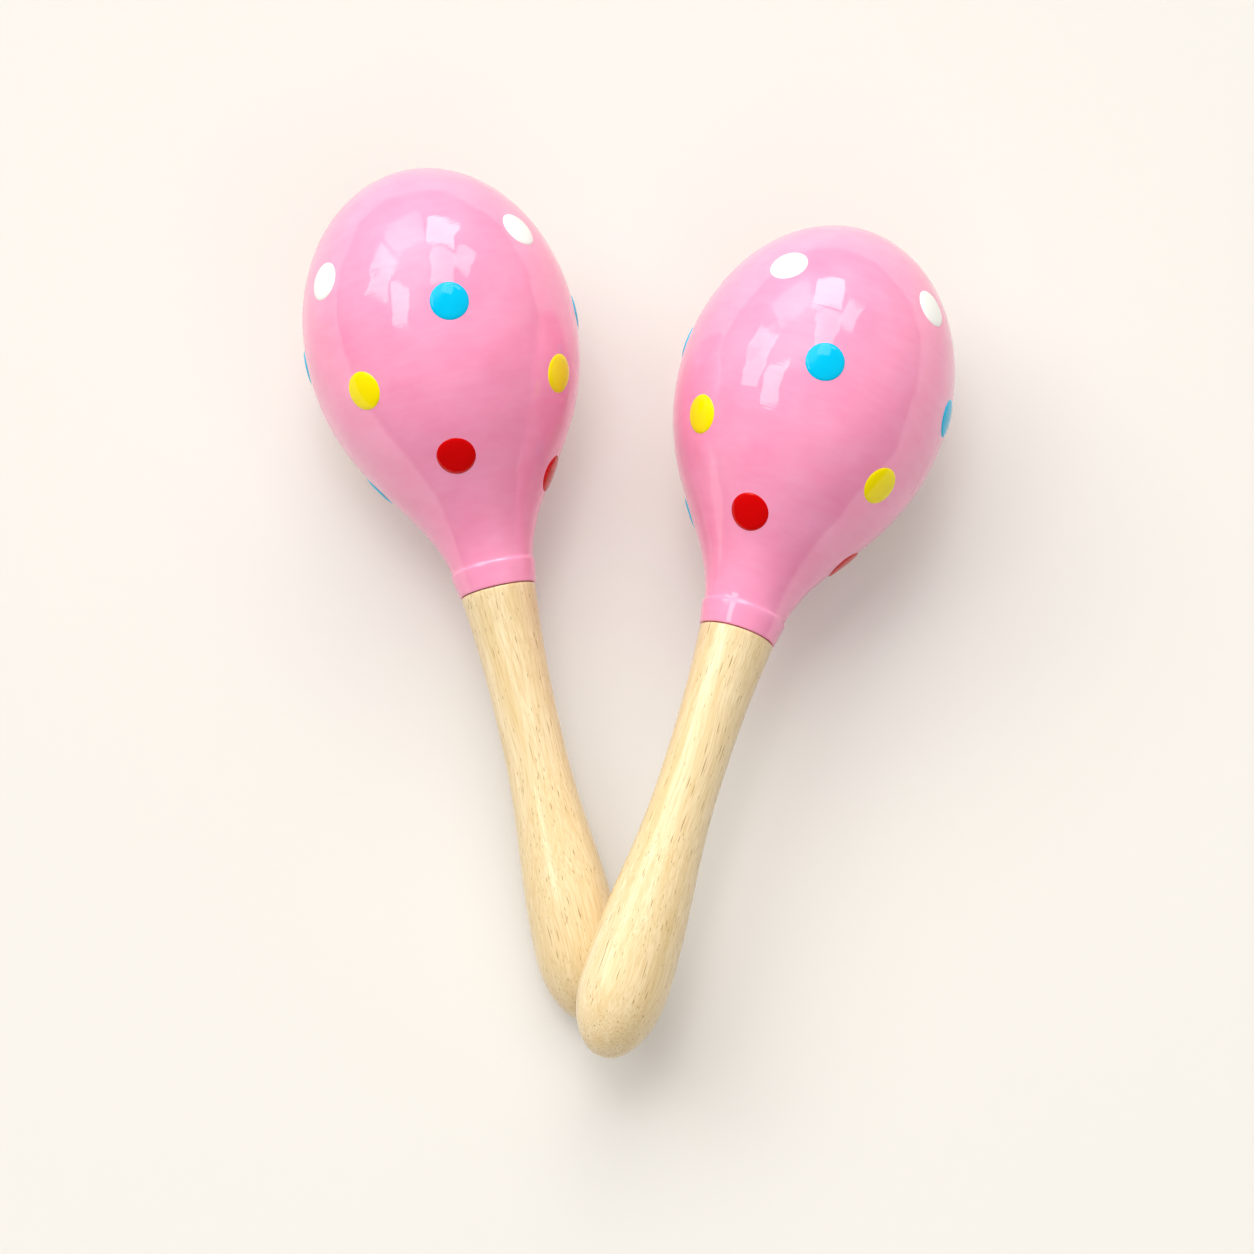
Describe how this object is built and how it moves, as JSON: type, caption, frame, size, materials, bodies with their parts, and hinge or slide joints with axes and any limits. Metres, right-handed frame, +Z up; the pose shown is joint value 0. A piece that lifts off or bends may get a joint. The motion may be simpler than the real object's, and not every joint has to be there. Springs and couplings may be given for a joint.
{
  "type": "hand shaker",
  "caption": "Toy maracas: hollow egg-shaped heads of lacquered wood with raised polka dots and loose rattle beads inside, each glued on a turned club handle and shaken by hand.",
  "frame": {"origin": "on the floor under the middle of the pair's bounding box", "axes": "+Z up from the floor, +Y from the handles towards the heads, +X towards the right maraca"},
  "size_m": [0.1492, 0.2052, 0.0633],
  "materials": {
    "pink_lacquer": "high-gloss lacquer",
    "beech": "clear satin varnish",
    "white_enamel": "gloss",
    "blue_enamel": "gloss",
    "yellow_enamel": "gloss",
    "red_enamel": "gloss",
    "bead_steel": "polished"
  },
  "bodies": {
    "left_maraca": {"left_crown_shell": "pink_lacquer", "left_neck_shell": "pink_lacquer", "left_handle": "beech", "left_white_dot_1": "white_enamel", "left_white_dot_2": "white_enamel", "left_white_dot_3": "white_enamel", "left_white_dot_4": "white_enamel", "left_blue_dot_1": "blue_enamel", "left_blue_dot_2": "blue_enamel", "left_blue_dot_3": "blue_enamel", "left_blue_dot_4": "blue_enamel", "left_yellow_dot_1": "yellow_enamel", "left_yellow_dot_2": "yellow_enamel", "left_yellow_dot_3": "yellow_enamel", "left_yellow_dot_4": "yellow_enamel", "left_red_dot_1": "red_enamel", "left_red_dot_2": "red_enamel", "left_red_dot_3": "red_enamel", "left_red_dot_4": "red_enamel"},
    "left_bead_1": {"left_rattle_bead_1": "bead_steel"},
    "left_bead_2": {"left_rattle_bead_2": "bead_steel"},
    "left_bead_3": {"left_rattle_bead_3": "bead_steel"},
    "left_bead_4": {"left_rattle_bead_4": "bead_steel"},
    "left_bead_5": {"left_rattle_bead_5": "bead_steel"},
    "left_bead_6": {"left_rattle_bead_6": "bead_steel"},
    "left_bead_7": {"left_rattle_bead_7": "bead_steel"},
    "right_maraca": {"right_crown_shell": "pink_lacquer", "right_neck_shell": "pink_lacquer", "right_handle": "beech", "right_white_dot_1": "white_enamel", "right_white_dot_2": "white_enamel", "right_white_dot_3": "white_enamel", "right_white_dot_4": "white_enamel", "right_blue_dot_1": "blue_enamel", "right_blue_dot_2": "blue_enamel", "right_blue_dot_3": "blue_enamel", "right_blue_dot_4": "blue_enamel", "right_yellow_dot_1": "yellow_enamel", "right_yellow_dot_2": "yellow_enamel", "right_yellow_dot_3": "yellow_enamel", "right_yellow_dot_4": "yellow_enamel", "right_red_dot_1": "red_enamel", "right_red_dot_2": "red_enamel", "right_red_dot_3": "red_enamel", "right_red_dot_4": "red_enamel"},
    "right_bead_1": {"right_rattle_bead_1": "bead_steel"},
    "right_bead_2": {"right_rattle_bead_2": "bead_steel"},
    "right_bead_3": {"right_rattle_bead_3": "bead_steel"},
    "right_bead_4": {"right_rattle_bead_4": "bead_steel"},
    "right_bead_5": {"right_rattle_bead_5": "bead_steel"},
    "right_bead_6": {"right_rattle_bead_6": "bead_steel"},
    "right_bead_7": {"right_rattle_bead_7": "bead_steel"}
  },
  "joints": [
    {"name": "left_bead_1_rattle", "type": "slide", "parent": "left_maraca", "child": "left_bead_1", "axis": [0.0336, -0.1455, 0.9888], "range_m": [0, 0.0466]},
    {"name": "left_bead_2_rattle", "type": "slide", "parent": "left_maraca", "child": "left_bead_2", "axis": [0.0336, -0.1455, 0.9888], "range_m": [0, 0.0454]},
    {"name": "left_bead_3_rattle", "type": "slide", "parent": "left_maraca", "child": "left_bead_3", "axis": [0.0336, -0.1455, 0.9888], "range_m": [0, 0.0473]},
    {"name": "left_bead_4_rattle", "type": "slide", "parent": "left_maraca", "child": "left_bead_4", "axis": [0.0336, -0.1455, 0.9888], "range_m": [0, 0.0473]},
    {"name": "left_bead_5_rattle", "type": "slide", "parent": "left_maraca", "child": "left_bead_5", "axis": [0.0336, -0.1455, 0.9888], "range_m": [0, 0.0454]},
    {"name": "left_bead_6_rattle", "type": "slide", "parent": "left_maraca", "child": "left_bead_6", "axis": [0.0336, -0.1455, 0.9888], "range_m": [0, 0.0442]},
    {"name": "left_bead_7_rattle", "type": "slide", "parent": "left_maraca", "child": "left_bead_7", "axis": [0.0336, -0.1455, 0.9888], "range_m": [0, 0.0442]},
    {"name": "right_bead_1_rattle", "type": "slide", "parent": "right_maraca", "child": "right_bead_1", "axis": [-0.0114, -0.0358, 0.9993], "range_m": [0, 0.0476]},
    {"name": "right_bead_2_rattle", "type": "slide", "parent": "right_maraca", "child": "right_bead_2", "axis": [-0.0114, -0.0358, 0.9993], "range_m": [0, 0.0463]},
    {"name": "right_bead_3_rattle", "type": "slide", "parent": "right_maraca", "child": "right_bead_3", "axis": [-0.0114, -0.0358, 0.9993], "range_m": [0, 0.0471]},
    {"name": "right_bead_4_rattle", "type": "slide", "parent": "right_maraca", "child": "right_bead_4", "axis": [-0.0114, -0.0358, 0.9993], "range_m": [0, 0.0471]},
    {"name": "right_bead_5_rattle", "type": "slide", "parent": "right_maraca", "child": "right_bead_5", "axis": [-0.0114, -0.0358, 0.9993], "range_m": [0, 0.0463]},
    {"name": "right_bead_6_rattle", "type": "slide", "parent": "right_maraca", "child": "right_bead_6", "axis": [-0.0114, -0.0358, 0.9993], "range_m": [0, 0.0463]},
    {"name": "right_bead_7_rattle", "type": "slide", "parent": "right_maraca", "child": "right_bead_7", "axis": [-0.0114, -0.0358, 0.9993], "range_m": [0, 0.0463]},
    {"name": "right_lift", "type": "slide", "parent": "left_maraca", "child": "right_maraca", "axis": [0, 0, 1], "range_m": [0, 0.1]}
  ]
}
